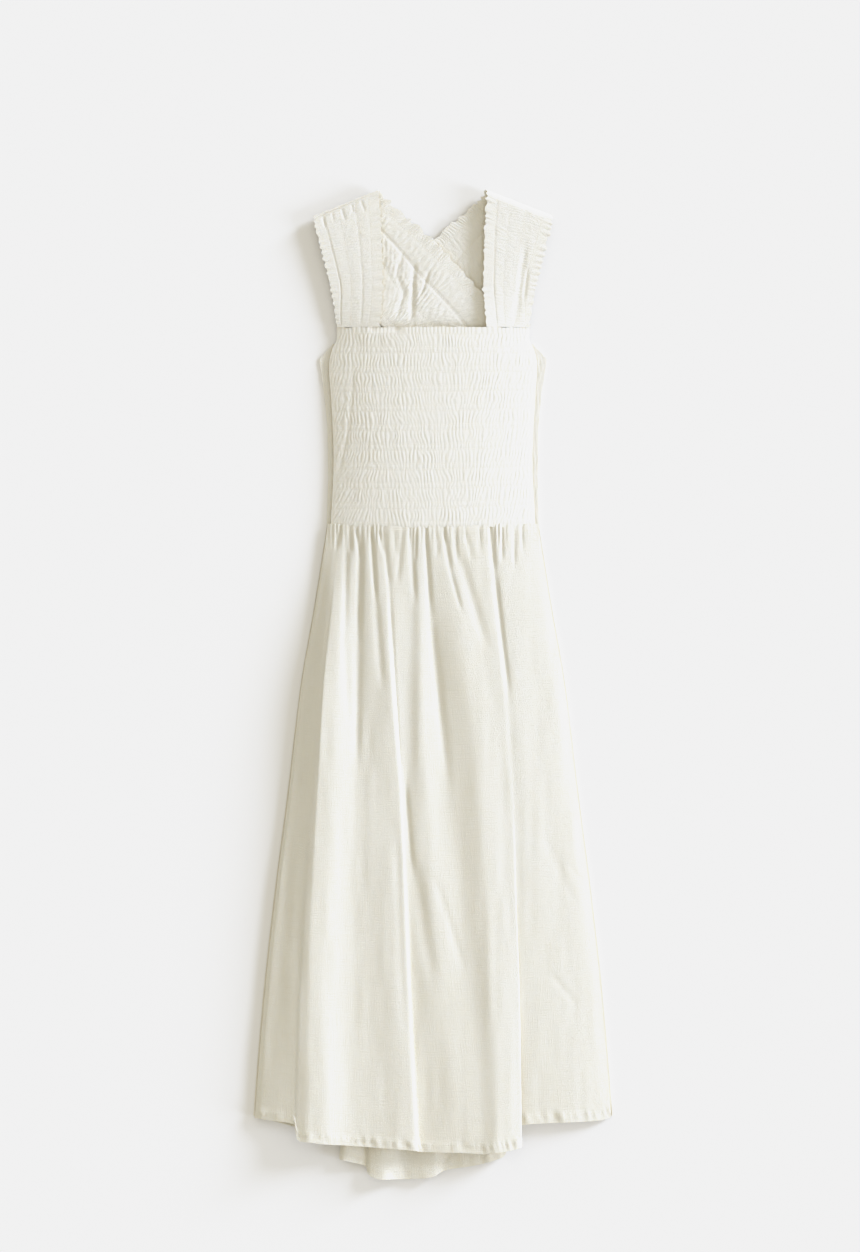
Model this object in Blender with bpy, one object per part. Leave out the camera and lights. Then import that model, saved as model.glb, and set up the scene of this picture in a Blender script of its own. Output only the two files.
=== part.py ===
"""Smocked dress with wide frilled shoulder straps that cross at the back, laid out flat on its back.

Run it with: blender --background --python part.py

Each piece that a maker cuts is one closed cloth wall: the smocked front and back bodice, the front and
back skirt, and two smocked shoulder straps, each one band whose edges are left free as frills, which
folds over at the shoulder and runs down to the other side of the back.
Metres, +Z up. The dress lies on the plane Z = 0 with its shoulders towards +Y and its front upwards.
Sizes below are in millimetres: "across" is measured from the centre line, "along" from the waist seam.
"""

import collections
import math

import bmesh
import bpy
import numpy as np

MM = 0.001

# Driving sizes, in millimetres
BODICE_LENGTH = 256.0
BODICE_WAIST_HALF = 131.0
BACK_BODICE_LENGTH = 235.0
FRILL_WIDTH = 13.5
SEAM_GAP = 0.3

# Cloth walls
SKIRT_WALL = 1.2
SMOCKED_WALL = 2.0
BACK_WALL = 2.4
STRAP_WALL = 1.6
FRILL_WALL = 1.0
HEM_RAISE = 0.5

# How the bodice arches off the surface it lies on
ARCH_SIDE = 3.7
ARCH_RISE = 10.5
ARCH_POWER = 2.4
SIDE_CREASE_ACROSS = -103.0
SIDE_CREASE_DEPTH = 2.6
SIDE_CREASE_WIDTH = 9.0

# Smocking: bands of upright puckers between rows of elastic
NECK_BAND = 8.0
SMOCKED_BANDS = 10
PUCKER_PITCH = 8.2
PUCKER_HEIGHT = 2.0
PUFF_HEIGHT = 0.9
FLAT_SIDE_SHARE = 0.06
PLAIN_STEP = 4
STRAP_PUCKER_HEIGHT = 1.1
STRAP_PUFF_HEIGHT = 0.4
FRILL_WAVES = 40
FRILL_WAVE_FRONT = 2.4
FRILL_WAVE_BACK = 1.5

# Gathers where the skirt leaves the smocking
WAIST_GATHERS = 17
GATHER_HEIGHT = 2.4
GATHER_FADE = 0.26

# Middle of the whole length, measured along from the waist seam: the frame's origin
LENGTH_MIDDLE = -200.0

SKIRT_COLUMNS = 60
BACK_COLUMNS = 36
BACK_BODICE_COLUMNS = 12
SKIRT_ROWS = (0, 0.02, 0.06, 0.13, 0.24, 0.4, 0.56, 0.72, 0.88, 0.984, 1)

# Half width of the skirt at distances below the waist
Outline = collections.namedtuple("Outline", "level half")
SKIRT_OUTLINE = (
    Outline(0, 136),
    Outline(106, 153),
    Outline(198, 169),
    Outline(337, 186),
    Outline(477, 204),
    Outline(605, 218),
    Outline(756, 230),
    Outline(840, 235),
)

# Half width of the front bodice at heights above the waist
BODICE_OUTLINE = (
    Outline(0, 131),
    Outline(87, 127),
    Outline(161, 130),
    Outline(208, 133),
    Outline(228, 129),
    Outline(242, 123),
    Outline(256, 123),
)

# Half width of the back bodice at heights above the waist, from its top edge and armhole corners down
BACK_BODICE_OUTLINE = (
    Outline(BACK_BODICE_LENGTH, 128),
    Outline(216, 146),
    Outline(170, 139),
    Outline(129, 135),
    Outline(65, 134),
    Outline(SEAM_GAP / 2, 136),
)

# One row for each ridge, valley or turned edge of a skirt panel, from its left seam to its right seam.
# waist, mid and hem are shares of the skirt's width, z_mid and z_hem are heights, and drop is how far
# below the waist the line meets the hem.
Fold = collections.namedtuple("Fold", "name waist mid hem z_mid z_hem drop")
FRONT_FOLDS = (
    Fold("left_seam", 0.005, 0.005, 0.005, 2.1, 2.1, 755),
    Fold("left_roll", 0.012, 0.010, 0.012, 5.6, 6.4, 755),
    Fold("left_flat", 0.026, 0.030, 0.044, 7.2, 8.0, 758),
    Fold("left_slope", 0.035, 0.054, 0.090, 10.4, 12.0, 761),
    Fold("left_step_foot", 0.041, 0.071, 0.113, 12.8, 14.4, 764),
    Fold("left_step", 0.046, 0.082, 0.120, 14.3, 15.2, 770),
    Fold("left_step_top", 0.052, 0.089, 0.127, 15.2, 16.0, 777),
    Fold("left_edge", 0.058, 0.095, 0.136, 15.9, 17.0, 782),
    Fold("left_ridge", 0.064, 0.104, 0.160, 16.8, 19.4, 784),
    Fold("left_ridge_top", 0.090, 0.140, 0.190, 17.0, 20.0, 786),
    Fold("left_valley", 0.161, 0.235, 0.280, 12.0, 15.0, 789),
    Fold("middle_rise", 0.200, 0.302, 0.366, 13.2, 16.8, 792),
    Fold("middle_ridge", 0.245, 0.374, 0.442, 15.6, 19.6, 795),
    Fold("middle_edge", 0.272, 0.386, 0.456, 14.6, 17.4, 795),
    Fold("middle_tuck", 0.300, 0.392, 0.456, 12.6, 14.4, 796),
    Fold("middle_valley", 0.392, 0.415, 0.480, 11.4, 12.6, 797),
    Fold("tongue_ridge", 0.435, 0.470, 0.579, 12.8, 15.4, 798),
    Fold("tongue_valley", 0.470, 0.549, 0.639, 10.2, 17.2, 799),
    Fold("right_ridge", 0.545, 0.660, 0.682, 13.4, 18.8, 797),
    Fold("right_ridge_top", 0.640, 0.740, 0.729, 12.8, 18.4, 793),
    Fold("right_edge", 0.757, 0.763, 0.744, 11.8, 16.0, 789),
    Fold("right_tuck_over", 0.764, 0.771, 0.712, 11.2, 13.0, 782),
    Fold("right_tuck_turn", 0.770, 0.776, 0.668, 10.8, 9.8, 774),
    Fold("right_tuck_under", 0.782, 0.784, 0.702, 10.4, 6.6, 767),
    Fold("right_inner", 0.805, 0.808, 0.770, 10.2, 6.2, 762),
    Fold("right_swell", 0.850, 0.868, 0.880, 9.2, 6.4, 760),
    Fold("right_outer", 0.955, 0.957, 0.966, 5.4, 4.0, 758),
    Fold("right_seam", 0.995, 0.995, 0.995, 2.1, 2.1, 754),
)
BACK_FOLDS = (
    Fold("left_seam", 0.000, 0.000, 0.000, 0.6, 0.6, 752),
    Fold("left_flat", 0.100, 0.100, 0.130, 0.6, 0.6, 768),
    Fold("left_tuck_under", 0.170, 0.190, 0.285, 0.6, 0.6, 786),
    Fold("left_tuck_turn", 0.200, 0.220, 0.305, 0.6, 3.0, 792),
    Fold("left_tuck_over", 0.225, 0.240, 0.285, 0.6, 5.3, 799),
    Fold("left_edge", 0.250, 0.260, 0.245, 0.6, 6.4, 807),
    Fold("left_edge_top", 0.270, 0.280, 0.258, 0.6, 8.2, 809),
    Fold("roll_foot", 0.300, 0.310, 0.318, 0.6, 5.0, 817),
    Fold("roll_side", 0.320, 0.330, 0.323, 0.6, 7.0, 826),
    Fold("roll_top", 0.350, 0.360, 0.360, 0.6, 9.6, 833),
    Fold("roll_valley", 0.410, 0.420, 0.418, 0.6, 4.4, 833),
    Fold("rib_slope", 0.455, 0.465, 0.465, 0.6, 6.2, 832),
    Fold("rib", 0.490, 0.500, 0.505, 0.6, 7.8, 829),
    Fold("rib_edge", 0.505, 0.515, 0.517, 0.6, 6.2, 825),
    Fold("right_foot", 0.525, 0.535, 0.540, 0.6, 3.8, 821),
    Fold("right_flat", 0.580, 0.590, 0.610, 0.6, 3.8, 816),
    Fold("right_swell", 0.650, 0.660, 0.692, 0.6, 3.4, 808),
    Fold("right_edge", 0.700, 0.710, 0.748, 0.6, 2.6, 797),
    Fold("right_mid", 0.880, 0.890, 0.885, 0.6, 0.6, 763),
    Fold("right_seam", 1.000, 1.000, 1.000, 0.6, 0.6, 752),
)
MID_SHARE = 0.4
WAIST_WEIGHT = 0.45

# Stations of the left shoulder strap from the front neckline, over the shoulder, to the back bodice. "in" is
# its neck edge and "out" its arm edge, with x across and y along. The right strap mirrors it. share is how
# far along the strap the station lies, and raised is how much higher the upper strap lies there.
Station = collections.namedtuple("Station", "name share x_in y_in z_in x_out y_out z_out raised")
STRAP_STATIONS = (
    Station("front_seam", 0.00, -68, 256.3, 12.1, -123, 256.3, 5.3, 0.0),
    Station("front_low", 0.13, -64, 312, 12.2, -131, 305, 7.4, 0.0),
    Station("front_high", 0.29, -66, 385, 12.2, -145, 362, 8.6, 0.0),
    Station("shoulder_front", 0.38, -69, 423, 12.0, -152, 391, 9.0, 0.0),
    Station("shoulder_top", 0.42, -68, 431.5, 7.6, -152, 399, 6.4, 0.4),
    Station("shoulder_back", 0.46, -62, 422, 3.6, -146, 390, 3.1, 0.8),
    Station("back_high", 0.58, -36, 399, 3.0, -122, 348, 2.8, 1.4),
    Station("meeting", 0.67, -7, 374, 2.9, -98, 308, 2.7, 3.0),
    Station("crossing", 0.76, 22, 346, 2.8, -78, 268, 2.6, 4.9),
    Station("back_low", 0.91, 72, 288, 2.2, -52, 247, 2.2, 4.6),
    Station("back_seam", 1.00, 108, 235.3, 1.5, -34, 235.3, 1.5, 3.1),
)

SHOULDER_SHARE = 0.41

# Rows of elastic along a strap, as shares of its width from the neck frill's root to the arm frill's
STRAP_ROWS = (0.0, 0.17, 0.58, 1.0)

# Colour, roughness
IVORY = ((0.86, 0.85, 0.79, 1.0), 0.85)


def clear_scene():
    for thing in list(bpy.data.objects):
        bpy.data.objects.remove(thing)


def cloth_material(name):
    colour, roughness = IVORY
    material = bpy.data.materials.new(name)
    material.use_nodes = True
    shader = material.node_tree.nodes["Principled BSDF"]
    shader.inputs["Base Color"].default_value = colour
    shader.inputs["Roughness"].default_value = roughness
    shader.inputs["Metallic"].default_value = 0.0
    return material


def smooth_step(low, high, value):
    share = np.clip((value - low) / (high - low), 0, 1)
    return share * share * (3 - 2 * share)


def through(knots, values, at):
    """A smooth curve through the knots that never overshoots them. values may have several columns."""
    knots = np.asarray(knots, float)
    values = np.asarray(values, float).reshape(len(knots), -1)
    at = np.clip(np.asarray(at, float), knots[0], knots[-1])
    steps = np.diff(knots)[:, None]
    slopes = np.diff(values, axis=0) / steps
    tangents = np.zeros_like(values)
    tangents[0], tangents[-1] = slopes[0], slopes[-1]
    same_way = slopes[:-1] * slopes[1:] > 0
    safe = np.where(same_way, slopes[:-1] + slopes[1:], 1)
    tangents[1:-1] = np.where(same_way, 2 * slopes[:-1] * slopes[1:] / safe, 0)
    span = np.clip(np.searchsorted(knots, at, side="right") - 1, 0, len(steps) - 1)
    t = ((at - knots[span]) / steps[span, 0])[..., None]
    step = steps[span]
    return (
        values[span] * (1 + 2 * t) * (1 - t) ** 2
        + tangents[span] * step * t * (1 - t) ** 2
        + values[span + 1] * t * t * (3 - 2 * t)
        + tangents[span + 1] * step * t * t * (t - 1)
    )


def outline_half(outline, along):
    return through([row[0] for row in outline], [row.half for row in outline], along)[..., 0]


def arch(across, half):
    """Height of the front bodice's cloth, with the soft upright crease near its left side."""
    share = np.clip(np.abs(across) / half, 0, 1)
    height = ARCH_SIDE + ARCH_RISE * (1 - share**ARCH_POWER)
    crease = np.exp(-(((across - SIDE_CREASE_ACROSS) / SIDE_CREASE_WIDTH) ** 2))
    return height - SIDE_CREASE_DEPTH * crease


def normals_of(grid):
    """Unit normals of a grid of points: upwards where its rows run down and its columns to the right."""
    along = np.gradient(grid, axis=0)
    across = np.gradient(grid, axis=1)
    normal = np.cross(along, across)
    return normal / np.linalg.norm(normal, axis=2, keepdims=True)


def border_of(rows, columns):
    """Places round a grid's edge, in order, each once."""
    return (
        [(0, c) for c in range(columns)]
        + [(r, columns - 1) for r in range(1, rows)]
        + [(rows - 1, c) for c in range(columns - 2, -1, -1)]
        + [(r, 0) for r in range(rows - 2, 0, -1)]
    )


def grid_faces(rows, columns, index, flipped):
    faces = []
    for r in range(rows - 1):
        for c in range(columns - 1):
            face = [index[r, c], index[r, c + 1], index[r + 1, c + 1], index[r + 1, c]]
            faces.append(face[::-1] if flipped else face)
    return faces


def wall_object(name, outer, inner, material, step=1):
    """A closed cloth wall between two grids. The inner grid may hold only every step-th row and column."""
    rows, columns = outer.shape[:2]
    inner_rows, inner_columns = inner.shape[:2]
    points = np.concatenate([outer.reshape(-1, 3), inner.reshape(-1, 3)])
    outer_index = np.arange(rows * columns).reshape(rows, columns)
    inner_index = rows * columns + np.arange(inner_rows * inner_columns).reshape(inner_rows, inner_columns)
    faces = grid_faces(rows, columns, outer_index, False)
    faces += grid_faces(inner_rows, inner_columns, inner_index, True)
    ring = border_of(rows, columns)
    for here, there in zip(ring, ring[1:] + ring[:1]):
        foot_here = inner_index[-(-here[0] // step), -(-here[1] // step)]
        foot_there = inner_index[-(-there[0] // step), -(-there[1] // step)]
        if foot_here == foot_there:
            faces.append([outer_index[here], foot_here, outer_index[there]])
        else:
            faces.append([outer_index[here], foot_here, foot_there, outer_index[there]])
    centred = points - np.array([0, LENGTH_MIDDLE, 0])
    mesh = bpy.data.meshes.new(name)
    mesh.from_pydata((centred * MM).tolist(), [], [[int(i) for i in face] for face in faces])
    work = bmesh.new()
    work.from_mesh(mesh)
    bmesh.ops.triangulate(work, faces=[f for f in work.faces if len(f.verts) > 3])
    if work.calc_volume(signed=True) < 0:
        bmesh.ops.reverse_faces(work, faces=work.faces)
    work.to_mesh(mesh)
    work.free()
    mesh.shade_smooth()
    mesh.set_sharp_from_angle(angle=math.radians(50))
    mesh.materials.append(material)
    thing = bpy.data.objects.new(name, mesh)
    bpy.context.scene.collection.objects.link(thing)
    return thing


def sheet_object(name, middle, wall, material, raise_outer=0.0, raise_inner=0.0):
    """A wall of even thickness round a middle surface, with relief on either face."""
    normal = normals_of(middle)
    outer = middle + normal * (wall / 2 + np.broadcast_to(raise_outer, middle.shape[:2]))[..., None]
    inner = middle - normal * (wall / 2 + np.broadcast_to(raise_inner, middle.shape[:2]))[..., None]
    return wall_object(name, outer, inner, material)


def fold_columns(folds, columns):
    """Even places across a panel, between its spacing at the waist and its cloth's length at the hem."""
    hem = np.array([[fold.hem * 2 * SKIRT_OUTLINE[-2].half, fold.z_hem, -fold.drop] for fold in folds])
    cloth = np.concatenate([[0], np.cumsum(np.linalg.norm(np.diff(hem, axis=0), axis=1))])
    waist = np.array([fold.waist for fold in folds])
    even = (waist - waist[0]) / (waist[-1] - waist[0])
    place = WAIST_WEIGHT * even + (1 - WAIST_WEIGHT) * cloth / cloth[-1]
    return place, np.linspace(0, 1, columns + 1)


def skirt_surface(folds, columns, lift):
    """The middle surface of a skirt panel. lift(across, half) is its height at the waist seam."""
    place, at = fold_columns(folds, columns)
    stations = (0.0, MID_SHARE, 1.0)
    rows = []
    for share in SKIRT_ROWS:
        shares = [through(stations, (f.waist, f.mid, f.hem), share)[0] for f in folds]
        heights = [through(stations, (f.z_mid, f.z_mid, f.z_hem), share)[0] for f in folds]
        drops = [SEAM_GAP / 2 + f.drop * share for f in folds]
        lines = through(place, np.transpose([shares, heights, drops]), at)
        below = lines[:, 2]
        half = outline_half(SKIRT_OUTLINE, below)
        across = (2 * lines[:, 0] - 1) * half
        from_waist = smooth_step(0.0, 0.3, share)
        height = lift(across, half) * (1 - from_waist) + lines[:, 1] * from_waist
        rows.append(np.stack([across, -below, height], axis=1))
    return np.array(rows), through(place, [fold.waist for fold in folds], at)[:, 0]


def build_skirt_front(material):
    middle, waist = skirt_surface(FRONT_FOLDS, SKIRT_COLUMNS, arch)
    share = np.array(SKIRT_ROWS)[:, None]
    grow = smooth_step(-0.01, 0.03, share)
    fade = 1 - smooth_step(0.05, GATHER_FADE, share)
    calm_sides = smooth_step(0.0, 0.08, waist) * (1 - smooth_step(0.92, 1.0, waist))
    wave = np.cos(2 * math.pi * WAIST_GATHERS * waist + 1.3 * np.sin(9 * waist))
    middle[..., 2] += GATHER_HEIGHT * grow * fade * calm_sides * wave
    hem = np.zeros(middle.shape[:2])
    hem[-2:] = HEM_RAISE
    return sheet_object("skirt_front", middle, SKIRT_WALL, material, raise_outer=hem)


def build_skirt_back(material):
    middle, _ = skirt_surface(BACK_FOLDS, BACK_COLUMNS, lambda x, half: np.full_like(x, SKIRT_WALL / 2))
    return sheet_object("skirt_back", middle, SKIRT_WALL, material)


def bodice_levels():
    """Heights above the waist of the neck band's edges, each row of elastic and each band's middle."""
    band = (BODICE_LENGTH - NECK_BAND) / SMOCKED_BANDS
    levels = [BODICE_LENGTH, BODICE_LENGTH - NECK_BAND / 3, BODICE_LENGTH - NECK_BAND]
    for index in range(SMOCKED_BANDS):
        levels += [levels[2] - band * (index + 0.5), levels[2] - band * (index + 1)]
    levels[-1] = SEAM_GAP / 2
    while (len(levels) - 1) % PLAIN_STEP:
        levels.insert(-1, (levels[-1] + levels[-2]) / 2)
    return np.array(levels), band


def build_bodice_front(material):
    """Smocked panel: each band between two rows of elastic is puffed into upright puckers."""
    along, band = bodice_levels()
    puckers = round(2 * BODICE_WAIST_HALF / PUCKER_PITCH / 2) * 2
    place = np.linspace(-1, 1, 2 * puckers + 1)
    half = outline_half(BODICE_OUTLINE, along)[:, None]
    across = half * place
    level = np.broadcast_to(along[:, None], across.shape)
    middle = np.stack([across, level, arch(across, half)], axis=2)
    bands_down = np.clip((BODICE_LENGTH - NECK_BAND - along) / band, 0, None)[:, None]
    puffed = np.abs(np.sin(math.pi * bands_down))
    ridge = (np.arange(len(place)) + np.floor(bands_down)) % 2
    flat_sides = smooth_step(0.0, FLAT_SIDE_SHARE, 1 - np.abs(place))
    relief = puffed * (PUFF_HEIGHT + PUCKER_HEIGHT * ridge) * flat_sides
    normal = normals_of(middle)
    outer = middle + normal * (SMOCKED_WALL / 2 + relief)[..., None]
    inner = (middle - normal * SMOCKED_WALL / 2)[::PLAIN_STEP, ::PLAIN_STEP]
    return wall_object("bodice_front", outer, inner, material, step=PLAIN_STEP)


def build_bodice_back(material):
    """Flat under panel: its smocked outside rests on the surface, so both its faces are plain here."""
    along = np.array([row.level for row in BACK_BODICE_OUTLINE])
    half = np.array([row.half for row in BACK_BODICE_OUTLINE])
    place = np.linspace(-1, 1, BACK_BODICE_COLUMNS + 1)
    across = half[:, None] * place[None, :]
    level = np.broadcast_to(along[:, None], across.shape)
    top = np.stack([across, level, np.full_like(across, BACK_WALL)], axis=2)
    under = np.stack([across, level, np.zeros_like(across)], axis=2)
    return wall_object("bodice_back", top, under, material)


def strap_edges(share, upper):
    """The neck edge and the arm edge of the left strap at a share of its length, before its frills."""
    table = [
        (s.x_in, s.y_in, s.z_in + s.raised * upper, s.x_out, s.y_out, s.z_out + s.raised * upper)
        for s in STRAP_STATIONS
    ]
    found = through([s.share for s in STRAP_STATIONS], table, share)
    return found[..., :3], found[..., 3:]


def strap_columns():
    """Places across a strap: each row of elastic and the middle of each puffed band between two rows."""
    rows = []
    for low, high in zip(STRAP_ROWS, STRAP_ROWS[1:]):
        rows += [low, (low + high) / 2]
    return np.array(rows + [1.0])


def strap_surface(share, width_share, side, upper):
    """Points on a strap's middle. width_share is 0 at the neck frill's root and 1 at the arm frill's."""
    neck, arm = strap_edges(share, upper)
    span = np.linalg.norm(arm - neck, axis=-1, keepdims=True)
    inset = FRILL_WIDTH / span
    reach = inset + (1 - 2 * inset) * width_share[..., None]
    return (neck + (arm - neck) * reach) * np.array([-side, 1, 1])


def front_share(share):
    """1 on a strap's front stretch, where its outside faces up, and 0 behind the shoulder."""
    return 1 - smooth_step(SHOULDER_SHARE - 0.02, SHOULDER_SHARE + 0.02, share)


def build_strap(name, side, upper, material):
    stations = np.linspace(0, 1, 2 * FRILL_WAVES + 1)
    band = strap_columns()
    width = np.concatenate([[-1.0, -0.5], band, [0.5, 1.0]])
    frill = np.concatenate([[1.0, 0.5], np.zeros(len(band)), [0.5, 1.0]])
    edge_widths = np.concatenate([[0.0, 0.0], band, [1.0, 1.0]])
    share = np.broadcast_to(stations[:, None], (len(stations), len(width)))
    middle = strap_surface(share, np.broadcast_to(edge_widths, share.shape), side, upper)
    across = middle[:, -1] - middle[:, 0]
    across /= np.linalg.norm(across, axis=1, keepdims=True)
    middle += across[:, None] * (FRILL_WIDTH * frill * np.sign(width))[None, :, None]
    even = np.where(np.arange(len(stations)) % 2, 1.0, -1.0)
    front = front_share(stations)
    ends = smooth_step(0.0, 0.02, stations) * (1 - smooth_step(0.93, 0.99, stations))
    normal = normals_of(middle) * side * -1
    wave_height = FRILL_WAVE_BACK + (FRILL_WAVE_FRONT - FRILL_WAVE_BACK) * front
    middle += normal * (wave_height * ends * even)[:, None, None] * (frill**1.4)[None, :, None]
    wall = STRAP_WALL + (FRILL_WALL - STRAP_WALL) * smooth_step(0, 0.5, frill)
    puff = np.zeros(len(width))
    puff[3:-2:2] = 1
    ridge = STRAP_PUFF_HEIGHT + STRAP_PUCKER_HEIGHT * (even > 0)
    relief = puff[None, :] * (ridge * ends)[:, None]
    outer = middle + normal * (wall[None, :] / 2 + relief * front[:, None])[..., None]
    inner = middle - normal * (wall[None, :] / 2 + relief * (1 - front[:, None]))[..., None]
    for face in (outer, inner):
        face[..., 2] = np.maximum(face[..., 2], 0)
    return wall_object(name, outer, inner, material)


def main():
    clear_scene()
    plain = cloth_material("ivory_cotton")
    smocked = cloth_material("smocked_cotton")
    build_bodice_front(smocked)
    build_bodice_back(smocked)
    build_skirt_front(plain)
    build_skirt_back(plain)
    build_strap("strap_left", -1, 1.0, smocked)
    build_strap("strap_right", 1, 0.0, smocked)


main()
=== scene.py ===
# %% [markdown]
# A smocked dress, laid out flat
#
# This lesson dresses the imported model of a long sleeveless dress. The real dress is thin ivory cotton:
# a bodice and two shoulder straps that are gathered on rows of elastic thread, and a plain skirt that
# hangs from a waist seam. It lies on its back on a pale floor and is seen from straight above. The first
# cell loads the solids that hold every piece's place.

import collections
import math

import bpy
import numpy as np
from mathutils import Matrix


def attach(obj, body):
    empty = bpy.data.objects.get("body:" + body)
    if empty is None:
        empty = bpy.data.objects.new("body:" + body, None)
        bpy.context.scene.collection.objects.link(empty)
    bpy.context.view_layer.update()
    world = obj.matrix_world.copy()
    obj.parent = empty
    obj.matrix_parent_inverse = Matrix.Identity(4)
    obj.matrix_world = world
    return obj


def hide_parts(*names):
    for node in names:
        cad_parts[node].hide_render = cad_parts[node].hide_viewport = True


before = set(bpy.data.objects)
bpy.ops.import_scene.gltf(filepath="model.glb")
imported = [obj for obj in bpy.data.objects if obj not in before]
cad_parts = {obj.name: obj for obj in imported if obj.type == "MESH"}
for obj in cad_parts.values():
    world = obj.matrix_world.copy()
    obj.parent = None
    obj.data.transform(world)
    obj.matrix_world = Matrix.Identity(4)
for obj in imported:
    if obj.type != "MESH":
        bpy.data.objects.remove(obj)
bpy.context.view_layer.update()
print("nodes:", sorted(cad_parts))

# %% [markdown]
# Sizes are in millimetres, as a dressmaker writes them. "Across" is measured from the dress's centre
# line, "along" upwards from the waist seam, and height from the floor. The waist seam lies 200 mm above
# the frame's origin, which is the middle of the dress's whole length.

# %% The dress's own sizes
MM = 0.001
WAIST_ALONG = 200.0
BODICE_LENGTH = 256.0
BACK_BODICE_LENGTH = 235.0
FRILL_WIDTH = 13.5
SEAM_GAP = 0.3
CLOTH = 0.7
SMOCKED_CLOTH = 0.8
FLOOR_CLEARANCE = 0.1

# %% [markdown]
# Three small helpers do most of the shaping. One eases from 0 to 1. One draws a smooth curve through a
# short table of values and never overshoots them, so a fold stays as high as its table says. One makes
# soft, seeded unevenness, because no gather on real cloth is like its neighbour.

# %% Curves and unevenness
def smooth_step(low, high, value):
    share = np.clip((value - low) / (high - low), 0, 1)
    return share * share * (3 - 2 * share)


def through(knots, values, at):
    """A smooth curve through the knots that never overshoots them. values may have several columns."""
    knots = np.asarray(knots, float)
    values = np.asarray(values, float).reshape(len(knots), -1)
    at = np.clip(np.asarray(at, float), knots[0], knots[-1])
    steps = np.diff(knots)[:, None]
    slopes = np.diff(values, axis=0) / steps
    tangents = np.zeros_like(values)
    tangents[0], tangents[-1] = slopes[0], slopes[-1]
    same_way = slopes[:-1] * slopes[1:] > 0
    safe = np.where(same_way, slopes[:-1] + slopes[1:], 1)
    tangents[1:-1] = np.where(same_way, 2 * slopes[:-1] * slopes[1:] / safe, 0)
    span = np.clip(np.searchsorted(knots, at, side="right") - 1, 0, len(steps) - 1)
    t = ((at - knots[span]) / steps[span, 0])[..., None]
    step = steps[span]
    return (
        values[span] * (1 + 2 * t) * (1 - t) ** 2
        + tangents[span] * step * t * (1 - t) ** 2
        + values[span + 1] * t * t * (3 - 2 * t)
        + tangents[span + 1] * step * t * t * (t - 1)
    )


def along_curve(table, at):
    """One value from a table of (place, value) pairs."""
    return through([row[0] for row in table], [row[1] for row in table], at)[..., 0]


def uneven(x, y, seed):
    """Soft noise from -1 to 1. It changes over about one unit of x and of y."""
    lattice = np.random.default_rng(seed).uniform(-1, 1, (64, 64))
    x, y = np.broadcast_arrays(np.asarray(x, float), np.asarray(y, float))
    left, low = np.floor(x), np.floor(y)
    a, b = x - left, y - low
    a, b = a * a * (3 - 2 * a), b * b * (3 - 2 * b)
    i, j = left.astype(int) % 64, low.astype(int) % 64
    i2, j2 = (i + 1) % 64, (j + 1) % 64
    bottom = lattice[i, j] * (1 - a) + lattice[i2, j] * a
    top = lattice[i, j2] * (1 - a) + lattice[i2, j2] * a
    return bottom * (1 - b) + top * b


# %% [markdown]
# Every piece of the dress starts as Blender's own flat grid, like cloth on the cutting table. Its points
# are then moved to where a function says that the cloth lies, and its UV map is scaled to the cut's real
# size in metres, so that the weave keeps one scale on every piece. Solidify gives the sheet its thickness
# and closes its edges. The frame wants each object at the origin, so only the mesh's points are moved.

# %% From a flat grid to a piece of cloth
SMOOTH_ANGLE = 60.0


def normals_of(grid):
    """Unit normals of a grid of points whose columns run to the right and whose rows run up."""
    normal = np.cross(np.gradient(grid, axis=1), np.gradient(grid, axis=0))
    return normal / np.linalg.norm(normal, axis=2, keepdims=True)


def to_frame(points):
    """From across, along and height in millimetres to the frame's metres."""
    return (points + np.array([0, WAIST_ALONG, 0])) * MM


def cloth_area(points):
    """The area of one face of the cloth, in square metres."""
    across, along = np.diff(points[:-1], axis=1), np.diff(points[:, :-1], axis=0)
    return np.linalg.norm(np.cross(across, along), axis=2).sum() * MM * MM


def cloth_piece(name, columns, rows, shape, flat, material, wall=CLOTH):
    """A sheet of cloth. shape(u, v) says where each point of the flat grid goes, in millimetres."""
    bpy.ops.object.select_all(action="DESELECT")
    bpy.ops.mesh.primitive_grid_add(x_subdivisions=columns, y_subdivisions=rows, size=1, calc_uvs=True)
    piece = bpy.context.object
    piece.name = piece.data.name = name
    place = np.zeros(len(piece.data.vertices) * 3)
    piece.data.vertices.foreach_get("co", place)
    place = place.reshape(rows + 1, columns + 1, 3) + 0.5
    points = shape(place[..., 0], place[..., 1])
    piece.data.vertices.foreach_set("co", to_frame(points).ravel())
    chart = piece.data.uv_layers.active.data
    uv = np.zeros(len(chart) * 2)
    chart.foreach_get("uv", uv)
    chart.foreach_set("uv", (uv.reshape(-1, 2) * np.array(flat)).ravel())
    solid = piece.modifiers.new("Thickness", "SOLIDIFY")
    solid.thickness = wall * MM
    solid.offset = 0
    bpy.ops.object.modifier_apply(modifier=solid.name)
    bpy.ops.object.shade_smooth_by_angle(angle=math.radians(SMOOTH_ANGLE))
    piece.data.materials.append(material)
    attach(piece, "root")
    print(f"{name}: {len(piece.data.polygons)} faces, {cloth_area(points):.4f} square metres of cloth")
    return piece, points


# %% [markdown]
# The cloth is one light cotton in three moods: plain on the skirt, gathered on the smocking, and thread
# for the stitches. What they share is a plain weave with a few thick yarns, called slubs. A node group
# holds it, so that each material places the same weave with its own values. It reads the UV map, which
# is in metres, and gives a height for the bump and a mask for the slubs. Blender's wave texture runs
# through 20 radians in one unit at a scale of 1, and a yarn is about one full turn of it.

# %% A node group for the woven cotton
WAVE_RADIANS = 20.0
YARN_RADIANS = 6.2
YARN_SHARE = 0.6
LENGTHWAYS_SLUBS = (900, 40)
CROSSWAYS_SLUBS = (45, 1000)


def socket(group, name, kind, in_out, value=None):
    made = group.interface.new_socket(name=name, in_out=in_out, socket_type=kind)
    if value is not None:
        made.default_value = value


def add(nodes, kind, **settings):
    node = nodes.new(kind)
    for key, value in settings.items():
        setattr(node, key, value)
    return node


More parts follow.
